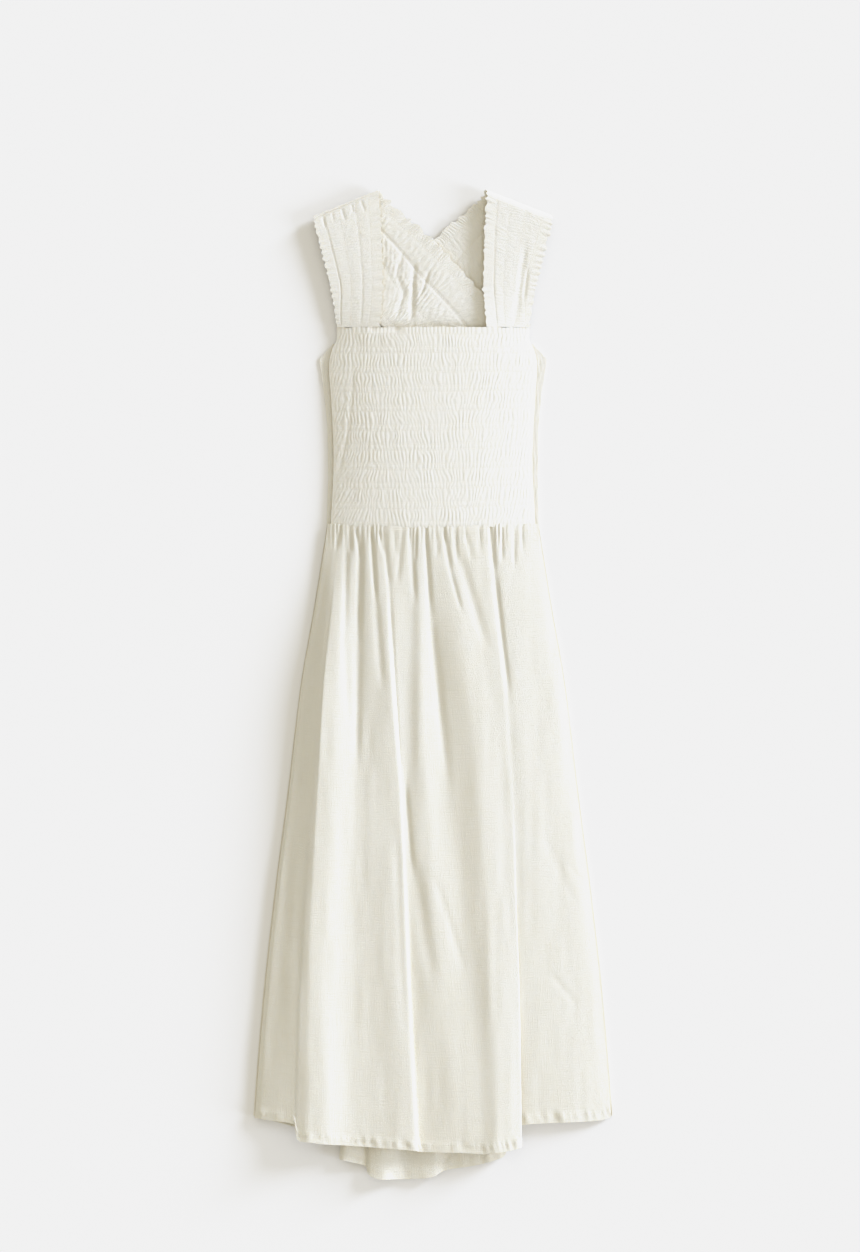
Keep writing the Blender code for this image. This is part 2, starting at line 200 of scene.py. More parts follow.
def math_node(tree, operation, first, second):
    """A Math node. Each input is a number or another node's output."""
    node = add(tree.nodes, "ShaderNodeMath", operation=operation)
    for place, value in enumerate((first, second)):
        if isinstance(value, (int, float)):
            node.inputs[place].default_value = value
        else:
            tree.links.new(value, node.inputs[place])
    return node.outputs[0]


def stretched_noise(tree, source, scale, detail):
    """Noise whose spots are stretched along U or V. scale is the spots per metre in U and V."""
    mapping = add(tree.nodes, "ShaderNodeMapping")
    mapping.inputs["Scale"].default_value = (scale[0], scale[1], 1)
    tree.links.new(source, mapping.inputs["Vector"])
    noise = add(tree.nodes, "ShaderNodeTexNoise")
    noise.inputs["Scale"].default_value = 1
    noise.inputs["Detail"].default_value = detail
    tree.links.new(mapping.outputs[0], noise.inputs["Vector"])
    return noise.outputs["Fac"]


def yarn_wave(tree, source, direction):
    wave = add(tree.nodes, "ShaderNodeTexWave", bands_direction=direction, wave_profile="SIN")
    wave.inputs["Scale"].default_value = YARN_RADIANS / WAVE_RADIANS
    wave.inputs["Distortion"].default_value = 0.6
    wave.inputs["Detail"].default_value = 1
    tree.links.new(source, wave.inputs["Vector"])
    return wave.outputs["Fac"]


def weave_group():
    group = bpy.data.node_groups.new("woven cotton", "ShaderNodeTree")
    socket(group, "Yarns per metre", "NodeSocketFloat", "INPUT", 1800.0)
    socket(group, "Slub amount", "NodeSocketFloat", "INPUT", 0.5)
    socket(group, "Height", "NodeSocketFloat", "OUTPUT")
    socket(group, "Slubs", "NodeSocketFloat", "OUTPUT")
    inside = add(group.nodes, "NodeGroupInput")
    outside = add(group.nodes, "NodeGroupOutput")
    chart = add(group.nodes, "ShaderNodeUVMap")
    scaled = add(group.nodes, "ShaderNodeVectorMath", operation="SCALE")
    group.links.new(chart.outputs[0], scaled.inputs[0])
    group.links.new(inside.outputs["Yarns per metre"], scaled.inputs["Scale"])
    warp = yarn_wave(group, scaled.outputs[0], "X")
    weft = yarn_wave(group, scaled.outputs[0], "Y")
    yarns = math_node(group, "MULTIPLY", math_node(group, "ADD", warp, weft), 0.5)
    lengthways = stretched_noise(group, chart.outputs[0], LENGTHWAYS_SLUBS, 2)
    crossways = stretched_noise(group, chart.outputs[0], CROSSWAYS_SLUBS, 2)
    slubs = math_node(group, "MAXIMUM", lengthways, crossways)
    slubs = math_node(group, "MULTIPLY", math_node(group, "SUBTRACT", slubs, 0.5), 2)
    slubs = math_node(group, "MULTIPLY", slubs, inside.outputs["Slub amount"])
    height = math_node(group, "ADD", math_node(group, "MULTIPLY", yarns, YARN_SHARE), slubs)
    group.links.new(height, outside.inputs["Height"])
    group.links.new(slubs, outside.inputs["Slubs"])
    return group


WEAVE = weave_group()

# %% [markdown]
# Each cotton material mixes two near ivories by the slubs and by a slow unevenness, so that the cloth
# isn't one flat colour, and turns the weave's height into a bump. A little sheen stands for the fine
# hairs on cotton. A little light goes through thin cloth too, which the sheet's own thickness can't
# show, so a small part of the colour is scattered under the surface. Light that has gone back and forth
# between two folds of ivory cloth comes out golden, so a node that finds the narrow places paints that
# golden shade into the colour.

# %% The cotton materials
Cotton = collections.namedtuple("Cotton", "name light shade yarns slubs bump roughness")
COTTONS = (
    Cotton("plain cotton", (0.900, 0.878, 0.800), (0.868, 0.838, 0.740), 1800.0, 0.9, 0.0008, 0.86),
    Cotton("smocked cotton", (0.905, 0.893, 0.842), (0.874, 0.855, 0.790), 2000.0, 0.45, 0.0004, 0.84),
    Cotton("cotton thread", (0.93, 0.92, 0.86), (0.88, 0.865, 0.79), 3000.0, 0.2, 0.0002, 0.7),
)
COTTON_SURFACE = {
    "Metallic": 0.0,
    "Specular IOR Level": 0.25,
    "Subsurface Weight": 0.3,
    "Subsurface Radius": (1.0, 0.9, 0.75),
    "Subsurface Scale": 0.001,
    "Sheen Weight": 0.12,
    "Sheen Roughness": 0.6,
}
SLOW_SPOTS = (14, 9)
SLOW_SHARE = 0.7
RAMP_ENDS = (0.15, 0.85)
BUMP_STRENGTH = 0.6
# Painted shade: how near other cloth must be, and how strongly the narrow places are painted golden.
NARROW_REACH = 0.025
OPEN_ENOUGH = 0.92
PAINTED_SHADE_SHARE = 0.9
PAINTED_SHADE_COLOUR = (0.95, 0.86, 0.66)


def painted_golden_shade(tree, colour):
    """The colour, with golden shade painted in where other cloth is close in front of it.

    A Mix node's colour sockets have the same names as its others, so they go by number.
    """
    # Painted shade: the colour is darkened towards golden wherever other cloth is near in front of it.
    narrow = add(tree.nodes, "ShaderNodeAmbientOcclusion", samples=4)
    narrow.inputs["Distance"].default_value = NARROW_REACH
    closed = math_node(tree, "SUBTRACT", OPEN_ENOUGH, narrow.outputs["AO"])
    tint = add(tree.nodes, "ShaderNodeMix", data_type="RGBA", blend_type="MULTIPLY")
    tree.links.new(math_node(tree, "MULTIPLY", closed, PAINTED_SHADE_SHARE), tint.inputs["Factor"])
    tree.links.new(colour, tint.inputs[6])
    tint.inputs[7].default_value = (*PAINTED_SHADE_COLOUR, 1)
    return tint.outputs[2]


def cotton_colour(tree, slubs, cotton):
    """The cotton's two ivories, mixed by its slubs and by a slow unevenness, with painted golden shade in
    the narrow places.
    """
    chart = add(tree.nodes, "ShaderNodeUVMap")
    slow = stretched_noise(tree, chart.outputs[0], SLOW_SPOTS, 3)
    mask = math_node(tree, "ADD", slubs, math_node(tree, "MULTIPLY", slow, SLOW_SHARE))
    ramp = add(tree.nodes, "ShaderNodeValToRGB")
    ivories = (cotton.light, cotton.shade)
    for stop, position, ivory in zip(ramp.color_ramp.elements, RAMP_ENDS, ivories):
        stop.position = position
        stop.color = (*ivory, 1)
    tree.links.new(mask, ramp.inputs["Fac"])
    return painted_golden_shade(tree, ramp.outputs["Color"])


def cotton_material(cotton):
    material = bpy.data.materials.new(cotton.name)
    material.use_nodes = True
    tree = material.node_tree
    shader = tree.nodes["Principled BSDF"]
    shader.inputs["Roughness"].default_value = cotton.roughness
    for name, value in COTTON_SURFACE.items():
        shader.inputs[name].default_value = value
    weave = add(tree.nodes, "ShaderNodeGroup", node_tree=WEAVE)
    weave.inputs["Yarns per metre"].default_value = cotton.yarns
    weave.inputs["Slub amount"].default_value = cotton.slubs
    colour = cotton_colour(tree, weave.outputs["Slubs"], cotton)
    tree.links.new(colour, shader.inputs["Base Color"])
    bump = add(tree.nodes, "ShaderNodeBump")
    bump.inputs["Strength"].default_value = BUMP_STRENGTH
    bump.inputs["Distance"].default_value = cotton.bump
    tree.links.new(weave.outputs["Height"], bump.inputs["Height"])
    tree.links.new(bump.outputs["Normal"], shader.inputs["Normal"])
    return material


PLAIN, SMOCKED, THREAD = [cotton_material(cotton) for cotton in COTTONS]

# %% [markdown]
# Smocking on elastic works like this: rows of elastic thread are sewn to flat cloth and pull it in, and
# the cloth between two rows has nowhere to go but up, in upright puckers. The rows lie in pairs here: a
# tall band of puckers, then a narrow one. One function gives that relief for any place on a piece, from
# how far the place is across the puckers and how many bands it is along. Both bodice panels use it.

# %% The relief of the smocking
PUCKER_PITCH = 4.7
TALL_SHARE = 0.72
TALL_PUCKER = 0.56
NARROW_PUCKER = 0.46
PUFF_ROUNDNESS = 0.45


def band_profile(place):
    """How far the cloth may puff up at a place inside its band: 0 on each row of elastic."""
    tall = np.clip(place / TALL_SHARE, 0, 1)
    narrow = np.clip((place - TALL_SHARE) / (1 - TALL_SHARE), 0, 1)
    tall_lift = TALL_PUCKER * np.sin(math.pi * tall) ** PUFF_ROUNDNESS
    narrow_lift = NARROW_PUCKER * np.sin(math.pi * narrow) ** PUFF_ROUNDNESS
    return np.where(place < TALL_SHARE, tall_lift, narrow_lift)


def puckers(across, bands, band_length, tilt, seed):
    """Height of the puckers. across is in mm, bands counts bands, and tilt leans them sideways."""
    number = np.floor(bands)
    place = bands - number
    leaning = across - tilt * (place - 0.5) * band_length
    wander = 0.8 * uneven(leaning / 12, number * 3.7 + place * 2.0, seed)
    phase = leaning / PUCKER_PITCH + wander + 0.37 * number
    ridge = np.abs(np.sin(math.pi * phase))
    own = 0.74 + 0.34 * uneven(np.floor(phase) * 0.61 + 5, number * 0.83 + 2 + place * 0.9, seed + 1)
    soft = 0.9 + 0.2 * uneven(across / 37, bands * 0.7, seed + 2)
    fine = 0.24 * uneven(across / 2.1, bands * 7, seed + 3)
    return band_profile(place) * (0.15 + ridge * own * soft + fine)


# %% [markdown]
# The front bodice is an arched sheet: highest along the middle, low at the side seams, where it lies on
# the back bodice. The outline comes from a table of half widths. A soft crease runs down its left side,
# where the side of the body would be, and its top edge is a narrow gathered heading above the first row.

# %% The front bodice
SMOCKED_BANDS = 10
NECK_BAND = 8.0
BAND_LENGTH = (BODICE_LENGTH - NECK_BAND) / SMOCKED_BANDS
ARCH_SIDE = 3.7
ARCH_RISE = 10.5
ARCH_POWER = 2.4
HEADING_PUCKER = 0.3
NECK_DIP = 2.2
RAGGED_EDGE = 2.2
SUNK_EDGE = 0.35
PUCKER_AT_SIDE = 0.35
PUCKER_AT_WAIST = 0.6
SIDE_CREASE_DEPTH = 0.4
SIDE_CREASE_WIDTH = 2.8
SIDE_CREASE = ((0, -131), (52, -125), (84, -117), (138, -106), (180, -103), (223, -102), (256, -102))
BODICE_HALF = ((0, 131), (87, 127), (161, 130), (208, 133), (228, 129), (242, 123), (256, 123))
PUCKER_LEAN = ((-131, -0.3), (-90, 0.05), (-50, 0.2), (10, 0.05), (70, -0.16), (131, -0.25))


def arch(across, half):
    share = np.clip(np.abs(across) / half, 0, 1)
    return ARCH_SIDE + ARCH_RISE * (1 - share**ARCH_POWER)


def side_crease(across, along):
    """A sharp dip with a soft swell beside it, along the bodice's left side."""
    off = (across - along_curve(SIDE_CREASE, along)) / SIDE_CREASE_WIDTH
    fade = smooth_step(50, 90, along) * (1 - smooth_step(175, 225, along))
    return SIDE_CREASE_DEPTH * fade * (np.exp(-off * off) - 0.15 * np.exp(-((off + 2.2) ** 2)))


def bodice_bands(across, along):
    """How many bands below the neckline a place on the front bodice is. The bands rise to the right."""
    rise_right = 5.0 * smooth_step(0, 131, across) * (1 - smooth_step(120, 250, along))
    level = along - rise_right + 0.8 * uneven(across / 30, along / 60, 11)
    return (BODICE_LENGTH - NECK_BAND - level) / BAND_LENGTH


def heading(across):
    """Fine gathers above the first row of elastic."""
    return HEADING_PUCKER * np.abs(np.sin(math.pi * across / 5.2 + 4 * uneven(across / 17, 0.5, 31)))


def bodice_edges(across, along):
    """How far the bodice's two edges stray along the cloth, and how far they sink."""
    neck, waist = smooth_step(250, 256, along), 1 - smooth_step(0, 5, along)
    stray = 0.7 * neck * uneven(across / 5, 0.3, 33) + RAGGED_EDGE * waist * uneven(across / 4.1, 0.4, 35)
    dip = smooth_step(-84, -74, across) * (1 - smooth_step(-48, -38, across)) * smooth_step(246, 256, along)
    return stray, NECK_DIP * dip + SUNK_EDGE * waist


def bodice_front_shape(u, v):
    along = SEAM_GAP / 2 + (BODICE_LENGTH - SEAM_GAP / 2) * v
    half = along_curve(BODICE_HALF, along)
    across = half * (2 * u - 1)
    height = arch(across, half) - side_crease(across, along)
    base = np.stack([across, along, height], axis=2)
    bands = bodice_bands(across, along)
    low_left = smooth_step(-60, -110, across) * smooth_step(150, 70, along)
    lean = along_curve(PUCKER_LEAN, across) - 0.5 * low_left
    relief = puckers(across, bands, BAND_LENGTH, lean, 21)
    relief = np.where(bands < 0, heading(across), relief)
    relief *= PUCKER_AT_SIDE + (1 - PUCKER_AT_SIDE) * smooth_step(0.0, 0.05, 1 - np.abs(2 * u - 1))
    relief *= PUCKER_AT_WAIST + (1 - PUCKER_AT_WAIST) * smooth_step(0, 5, along)
    points = base + normals_of(base) * relief[..., None]
    stray, sink = bodice_edges(across, along)
    points[..., 1] += stray
    points[..., 2] -= sink
    return points


bodice_front, bodice_front_points = cloth_piece(
    "smocked_front",
    columns=330,
    rows=140,
    shape=bodice_front_shape,
    flat=(0.35, 0.265),
    material=SMOCKED,
    wall=SMOCKED_CLOTH,
)
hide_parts("bodice_front")

# %% [markdown]
# The back bodice lies under the front one. Only a strip of it shows beside the armholes and the left
# side, but it is smocked all over on the real dress, so it is made whole. It lies flat on the floor.

# %% The back bodice
BACK_MIDDLE = 1.3
BACK_RELIEF = 0.8
BACK_HALF = ((0, 136), (65, 134), (129, 135), (170, 139), (216, 146), (BACK_BODICE_LENGTH, 128))


def bodice_back_shape(u, v):
    along = SEAM_GAP / 2 + (BACK_BODICE_LENGTH - SEAM_GAP / 2) * v
    half = np.interp(along, *np.transpose(BACK_HALF))
    across = half * (2 * u - 1)
    bands = (BODICE_LENGTH - NECK_BAND - along) / BAND_LENGTH
    relief = BACK_RELIEF * (puckers(across, bands, BAND_LENGTH, 0.1, 41) - 1)
    return np.stack([across, along, BACK_MIDDLE + np.clip(relief, -0.85, 0.6)], axis=2)


bodice_back, _ = cloth_piece(
    "smocked_back",
    columns=260,
    rows=90,
    shape=bodice_back_shape,
    flat=(0.35, 0.245),
    material=SMOCKED,
    wall=SMOCKED_CLOTH,
)
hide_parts("bodice_back")

# %% [markdown]
# A skirt panel is set out by its folds. Each row of the table is one ridge, valley or turned edge that
# runs from the waist to the hem, with its place across as a share of the skirt's width at three levels,
# its height at two, and how far down it meets the hem. Where a row's share is less than the row's before
# it, the cloth turns back under itself, as in a real pleat. The rows between are smooth curves.

# %% Folds of the skirt
SKIRT_HALF = ((0, 136), (106, 153), (198, 169), (337, 186), (477, 204), (605, 218), (756, 230), (840, 235))
SKIRT_MIDDLE = 0.6
SKIRT_LENGTH = 800.0
MID_SHARE = 0.4
WAIST_WEIGHT = 0.45
HEM_HALF = 230.0
Fold = collections.namedtuple("Fold", "name waist mid hem z_mid z_hem drop")
FRONT_FOLDS = (
    Fold("left_seam", 0.005, 0.005, 0.005, 2.1, 2.1, 755),
    Fold("left_roll", 0.012, 0.010, 0.012, 5.6, 5.6, 755),
    Fold("left_flat", 0.026, 0.030, 0.044, 7.6, 8.8, 757),
    Fold("left_slope", 0.035, 0.054, 0.090, 10.6, 13.6, 759),
    Fold("left_step_foot", 0.041, 0.071, 0.117, 12.8, 16.2, 762),
    Fold("left_step", 0.046, 0.082, 0.121, 14.3, 16.6, 770),
    Fold("left_step_top", 0.052, 0.089, 0.125, 15.2, 17.0, 779),
    Fold("left_edge", 0.058, 0.095, 0.134, 15.9, 17.8, 783),
    Fold("left_ridge", 0.064, 0.104, 0.160, 16.8, 19.8, 784),
    Fold("left_ridge_top", 0.090, 0.140, 0.190, 17.0, 20.0, 786),
    Fold("left_valley", 0.161, 0.235, 0.280, 12.0, 15.0, 789),
    Fold("middle_rise", 0.200, 0.302, 0.366, 13.5, 16.9, 792),
    Fold("middle_ridge", 0.240, 0.360, 0.430, 14.8, 18.8, 794),
    Fold("middle_crest", 0.258, 0.379, 0.450, 15.0, 18.8, 795),
    Fold("middle_edge", 0.272, 0.386, 0.459, 14.3, 17.6, 795),
    Fold("middle_tuck", 0.300, 0.389, 0.455, 12.2, 14.6, 796),
    Fold("middle_valley", 0.392, 0.408, 0.467, 11.0, 12.2, 797),
    Fold("tongue_ridge", 0.435, 0.470, 0.579, 12.9, 15.9, 798),
    Fold("tongue_valley", 0.470, 0.549, 0.639, 9.8, 17.6, 799),
    Fold("right_ridge", 0.545, 0.660, 0.682, 14.2, 19.2, 797),
    Fold("right_ridge_top", 0.640, 0.740, 0.729, 11.7, 17.4, 793),
    Fold("right_edge", 0.757, 0.763, 0.744, 11.1, 15.2, 789),
    Fold("right_tuck_over", 0.764, 0.771, 0.712, 10.7, 13.6, 782),
    Fold("right_tuck_turn", 0.770, 0.776, 0.668, 10.4, 11.6, 774),
    Fold("right_tuck_under", 0.782, 0.784, 0.702, 10.1, 9.8, 767),
    Fold("right_inner", 0.805, 0.808, 0.775, 9.9, 8.2, 762),
    Fold("right_swell", 0.850, 0.868, 0.880, 8.4, 7.2, 760),
    Fold("right_outer", 0.955, 0.957, 0.962, 5.2, 4.6, 758),
    Fold("right_seam", 0.995, 0.995, 0.995, 2.1, 2.1, 754),
)
BACK_FOLDS = (
    Fold("left_seam", 0.000, 0.000, 0.000, 0.6, 0.6, 752),
    Fold("left_flat", 0.100, 0.100, 0.130, 0.6, 0.6, 768),
    Fold("left_tuck_under", 0.170, 0.190, 0.285, 0.6, 0.6, 786),
    Fold("left_tuck_turn", 0.200, 0.220, 0.305, 0.6, 3.0, 792),
    Fold("left_tuck_over", 0.225, 0.240, 0.285, 0.6, 5.3, 799),
    Fold("left_edge", 0.250, 0.260, 0.245, 0.6, 6.4, 807),
    Fold("left_edge_top", 0.270, 0.280, 0.258, 0.6, 8.2, 809),
    Fold("roll_foot", 0.300, 0.310, 0.318, 0.6, 5.0, 817),
    Fold("roll_side", 0.320, 0.330, 0.323, 0.6, 7.0, 826),
    Fold("roll_top", 0.350, 0.360, 0.360, 0.6, 9.6, 833),
    Fold("roll_valley", 0.410, 0.420, 0.418, 0.6, 4.4, 833),
    Fold("rib_slope", 0.455, 0.465, 0.465, 0.6, 6.2, 832),
    Fold("rib", 0.490, 0.500, 0.505, 0.6, 7.8, 829),
    Fold("rib_edge", 0.505, 0.515, 0.517, 0.6, 6.2, 825),
    Fold("right_foot", 0.525, 0.535, 0.540, 0.6, 3.8, 821),
    Fold("right_flat", 0.580, 0.590, 0.610, 0.6, 3.8, 816),
    Fold("right_swell", 0.650, 0.660, 0.676, 0.6, 3.4, 808),
    Fold("right_edge", 0.680, 0.690, 0.697, 0.6, 3.2, 803),
    Fold("right_fall", 0.720, 0.730, 0.715, 0.6, 1.0, 770),
    Fold("right_mid", 0.880, 0.890, 0.885, 0.6, 0.6, 755),
    Fold("right_seam", 1.000, 1.000, 1.000, 0.6, 0.6, 752),
)


def fold_places(folds):
    """Where each fold lies in the cloth, from 0 to 1: between its place at the waist and at the hem."""
    hem = np.array([[fold.hem * 2 * HEM_HALF, fold.z_hem, -fold.drop] for fold in folds])
    cloth = np.concatenate([[0], np.cumsum(np.linalg.norm(np.diff(hem, axis=0), axis=1))])
    waist = np.array([fold.waist for fold in folds])
    even = (waist - waist[0]) / (waist[-1] - waist[0])
    return WAIST_WEIGHT * even + (1 - WAIST_WEIGHT) * cloth / cloth[-1]


def skirt_surface(folds, u, v, lift):
    """Where a skirt panel's cloth lies. lift(across, half) is its height at the waist seam."""
    places = fold_places(folds)
    rows = []
    for across_row, share in zip(u, 1 - v[:, 0]):
        at = (0.0, MID_SHARE, 1.0)
        shares = [through(at, (f.waist, f.mid, f.hem), share)[0] for f in folds]
        heights = [through(at, (f.z_mid, f.z_mid, f.z_hem), share)[0] for f in folds]
        drops = [SEAM_GAP / 2 + f.drop * share for f in folds]
        lines = through(places, np.transpose([shares, heights, drops]), across_row)
        below = lines[:, 2]
        half = along_curve(SKIRT_HALF, below)
        across = (2 * lines[:, 0] - 1) * half
        from_waist = smooth_step(0.0, 0.3, share)
        height = lift(across, half) * (1 - from_waist) + lines[:, 1] * from_waist
        rows.append(np.stack([across, -below, height], axis=1))
    return np.array(rows)


# %% [markdown]
# Four finer things go on top of the folds. Gathers fan down from the waist seam, each with its own
# length, because the skirt is wider than the bodice that it is sewn to. Soft creases are listed one by one,
# each with its two ends, its width and its depth. A faint crumple covers all of the cloth. The hem is
# turned up twice and stitched, which makes it thicker and puckers it a little.

# %% Gathers, creases and the hem
HEM_TURN = 12.0
HEM_RAISE = 0.45
SEAM_TUCK = 5.0
SEAM_RISE = 2.5
SEAM_DROP = 0.4
SEAM_RIPPLE = 1.1
SEAM_RIPPLE_PITCH = 5.6
HEM_PUCKER = 1.15
LARGE_CRUMPLE = 0.5
SMALL_CRUMPLE = 0.22
Crease = collections.namedtuple("Crease", "name across along end_across end_along width depth")
FRONT_CREASES = (
    Crease("left_gather", -118, 1, -123, -26, 2.3, 1.3),
    Crease("left_second", -106, 1, -105, -31, 2.5, 1.2),
    Crease("left_soft", -110, -9, -113, -144, 3.9, 1.1),
    Crease("left_soft_low", -113, -144, -108, -240, 4.7, 0.8),
    Crease("third", -99, 1, -93, -36, 2.0, 1.3),
    Crease("long_third", -92, -9, -95, -144, 3.9, 1.9),
    Crease("long_third_low", -95, -144, -97, -297, 4.7, 1.3),
    Crease("fourth", -79, 1, -73, -92, 2.9, 1.9),
    Crease("fourth_low", -73, -92, -65, -201, 4.7, 1.2),
    Crease("short_fifth", -69, -3, -63, -32, 2.0, 1.2),
    Crease("sixth", -63, 1, -56, -73, 2.5, 1.3),
    Crease("sixth_low", -56, -73, -42, -316, 2.2, 1.2),
    Crease("seventh", -49, -3, -47, -36, 2.7, 1.0),
    Crease("eighth", -38, 1, -45, -69, 2.3, 1.2),
    Crease("ninth", -29, 1, -23, -92, 3.4, 1.3),
    Crease("ninth_low", -23, -92, -27, -336, 7.0, 0.5),
    Crease("short_ninth", -22, -5, -22, -41, 1.9, 0.9),
    Crease("tenth", -10, 1, -3, -108, 3.2, 1.8),
    Crease("tenth_low", -3, -108, 18, -316, 4.7, 1.4),
    Crease("short_tenth", 5, -3, 6, -36, 2.3, 0.9),
    Crease("eleventh", 13, 1, 23, -57, 2.8, 1.5),
    Crease("eleventh_low", 23, -57, 37, -108, 2.2, 1.1),
    Crease("twelfth", 28, 1, 31, -44, 2.5, 1.1),
    Crease("twelfth_low", 32, -31, 68, -150, 6.2, 1.2),
    Crease("short_thirteenth", 41, -3, 50, -41, 2.0, 1.1),
    Crease("fourteenth", 61, 1, 60, -31, 2.3, 1.0),
    Crease("fifteenth", 73, 7, 78, -54, 3.6, 1.9),
    Crease("fifteenth_low", 78, -54, 96, -208, 3.9, 1.6),
    Crease("sixteenth", 90, 4, 88, -41, 2.5, 1.2),
    Crease("seventeenth", 104, 4, 104, -49, 2.5, 1.2),
    Crease("eighteenth", 114, 4, 115, -28, 2.0, 1.0),
    Crease("tongue_foot", 4, -451, 37, -556, 3.9, 0.8),
    Crease("wedge_high", -35, -330, -26, -440, 3.2, 1.1),
    Crease("wedge", -23, -430, -2, -575, 8.0, 1.4),
    Crease("low_middle", -47, -387, -40, -617, 5.5, 0.6),
    Crease("low_right", 141, -393, 183, -483, 6.2, 0.4),
    Crease("low_right_short", 170, -428, 191, -453, 3.1, 0.3),
    Crease("low_right_end", 152, -572, 183, -610, 3.9, 0.5),
    Crease("low_left", -183, -412, -196, -630, 7.0, 0.7),
)
BACK_CREASES = (
    Crease("back_left", -70, -20, -90, -420, 10, -0.25),
    Crease("back_right", 60, -20, 85, -500, 12, -0.25),
)


def crease_depth(points, creases):
    """How far the cloth dips at each point: each crease is a soft trough between its two ends."""
    depth = np.zeros(points.shape[:2])
    for crease in creases:
        start = np.array([crease.across, crease.along], float)
        run = np.array([crease.end_across, crease.end_along], float) - start
        off = points[..., :2] - start
        share = (off @ run) / (run @ run)
        aside = (off[..., 0] * run[1] - off[..., 1] * run[0]) / np.linalg.norm(run)
        ends = smooth_step(-0.12, 0.2, share) * (1 - smooth_step(0.75, 1.15, share))
        depth += crease.depth * ends * np.exp(-((aside / crease.width) ** 2))
    return depth


def seam_ripple(across, along, seed):
    """Small puckers that run on from the smocking for a few centimetres below the waist seam."""
    fade = 1 - smooth_step(4, 34, -along)
    phase = across / SEAM_RIPPLE_PITCH + 0.8 * uneven(across / 19, 0.4, seed)
    own = 0.7 + 0.5 * uneven(across / 11, 1.1, seed + 1)
    return SEAM_RIPPLE * fade * (np.abs(np.sin(math.pi * phase)) - 0.4) * own


def hem_relief(points, from_hem, seed):
    """The turned hem's thickness and the small puckers along its stitching."""
    inside = 1 - smooth_step(HEM_TURN - 1.5, HEM_TURN + 0.5, from_hem)
    stitched = np.exp(-(((from_hem - HEM_TURN + 4) / 5.5) ** 2))
    leaning = points[..., 0] + 0.35 * from_hem
    ripple = uneven(leaning / 3.0, from_hem / 30, seed) + 0.6 * uneven(leaning / 8, 1.5, seed + 1)
    return HEM_RAISE * inside + HEM_PUCKER * stitched * ripple


def skirt_front_shape(u, v):
    base = skirt_surface(FRONT_FOLDS, u, v, arch)
    share = 1 - v
    tucked = 1 - smooth_step(0.0, SEAM_RISE / SKIRT_LENGTH, share)
    from_hem = (1 - share) * -base[:1, :, 1]
    normal = normals_of(base)
    facing = np.clip(normal[..., 2], 0, 1)
    relief = seam_ripple(base[..., 0], base[..., 1], 51) - crease_depth(base, FRONT_CREASES)
    calm = smooth_step(0.02, 0.1, share)
    relief += LARGE_CRUMPLE * calm * uneven(base[..., 0] / 26, base[..., 1] / 120, 71)
    relief += SMALL_CRUMPLE * calm * uneven(base[..., 0] / 9, base[..., 1] / 55, 73)
    relief = relief * facing + hem_relief(base, from_hem, 61)
    points = base + normal * relief[..., None]
    points[..., 1] += SEAM_TUCK * tucked
    points[..., 2] -= SEAM_DROP * tucked
    return points


def skirt_back_shape(u, v):
    base = skirt_surface(BACK_FOLDS, u, v, lambda across, half: np.full_like(across, SKIRT_MIDDLE))
    from_hem = v * -base[:1, :, 1]
    relief = hem_relief(base, from_hem, 81) - crease_depth(base, BACK_CREASES)
    return base + normals_of(base) * np.clip(relief, -0.2, None)[..., None]


skirt_front, skirt_front_points = cloth_piece(
    "front_skirt", columns=200, rows=240, shape=skirt_front_shape, flat=(0.62, 0.8), material=PLAIN
)
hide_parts("skirt_front")

skirt_back, skirt_back_points = cloth_piece(
    "back_skirt", columns=130, rows=150, shape=skirt_back_shape, flat=(0.62, 0.83), material=PLAIN
)
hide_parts("skirt_back")

# %% [markdown]
# A shoulder strap is one long band that starts at the front neckline, folds over at the shoulder and
# runs down to the other side of the back. Stations along it say where its two edges are. Between the
# first and last rows of elastic the band is smocked, and outside them its edges are free and ruffle.

# %% Stations of the straps
Station = collections.namedtuple("Station", "name share x_in y_in z_in x_out y_out z_out raised")
STRAP_STATIONS = (
    Station("front_seam", 0.00, -68, 256.3, 12.1, -123, 256.3, 5.3, 0.0),
    Station("front_low", 0.13, -64, 312, 10.2, -131, 305, 7.0, 0.0),
    Station("front_high", 0.29, -66, 385, 10.2, -145, 362, 8.2, 0.0),
    Station("shoulder_front", 0.38, -69, 423, 10.2, -152, 391, 8.6, 0.0),
    Station("shoulder_top", 0.42, -68, 431.5, 6.6, -152, 399, 5.6, 0.3),
    Station("shoulder_back", 0.46, -62, 422, 3.2, -146, 390, 2.9, 0.4),
    Station("back_high", 0.58, -36, 399, 2.8, -122, 348, 2.6, 0.9),
    Station("meeting", 0.67, -7, 374, 2.6, -98, 308, 2.4, 2.4),
    Station("crossing", 0.76, 22, 346, 2.4, -78, 268, 2.2, 3.9),
    Station("back_low", 0.91, 72, 288, 2.2, -52, 247, 2.2, 3.8),
    Station("back_seam", 1.00, 108, 235.3, 1.5, -34, 235.3, 1.5, 3.1),
)
STRAP_ROWS = (0.0, 0.30, 0.64, 1.0)
STRAP_LENGTH = 520.0
SHOULDER_SHARE = 0.41


def strap_edges(share, upper):
    """The neck edge and the arm edge of the left strap at a share of its length."""
    table = [
        (s.x_in, s.y_in, s.z_in + s.raised * upper, s.x_out, s.y_out, s.z_out + s.raised * upper)
        for s in STRAP_STATIONS
    ]
    found = through([s.share for s in STRAP_STATIONS], table, share)
    return found[..., :3], found[..., 3:]


# %% [markdown]
# Across the band, a place of 0 is the neck frill's free edge and 1 is the arm frill's. The frills wave
# up and down and also in and out, more and more towards their free edges. The smocked part between them
# has puckers that run across the strap: small on the front stretch, and large and slanting on the back.
# The weave is laid out over a longer band than shows, because the cloth is gathered along it.

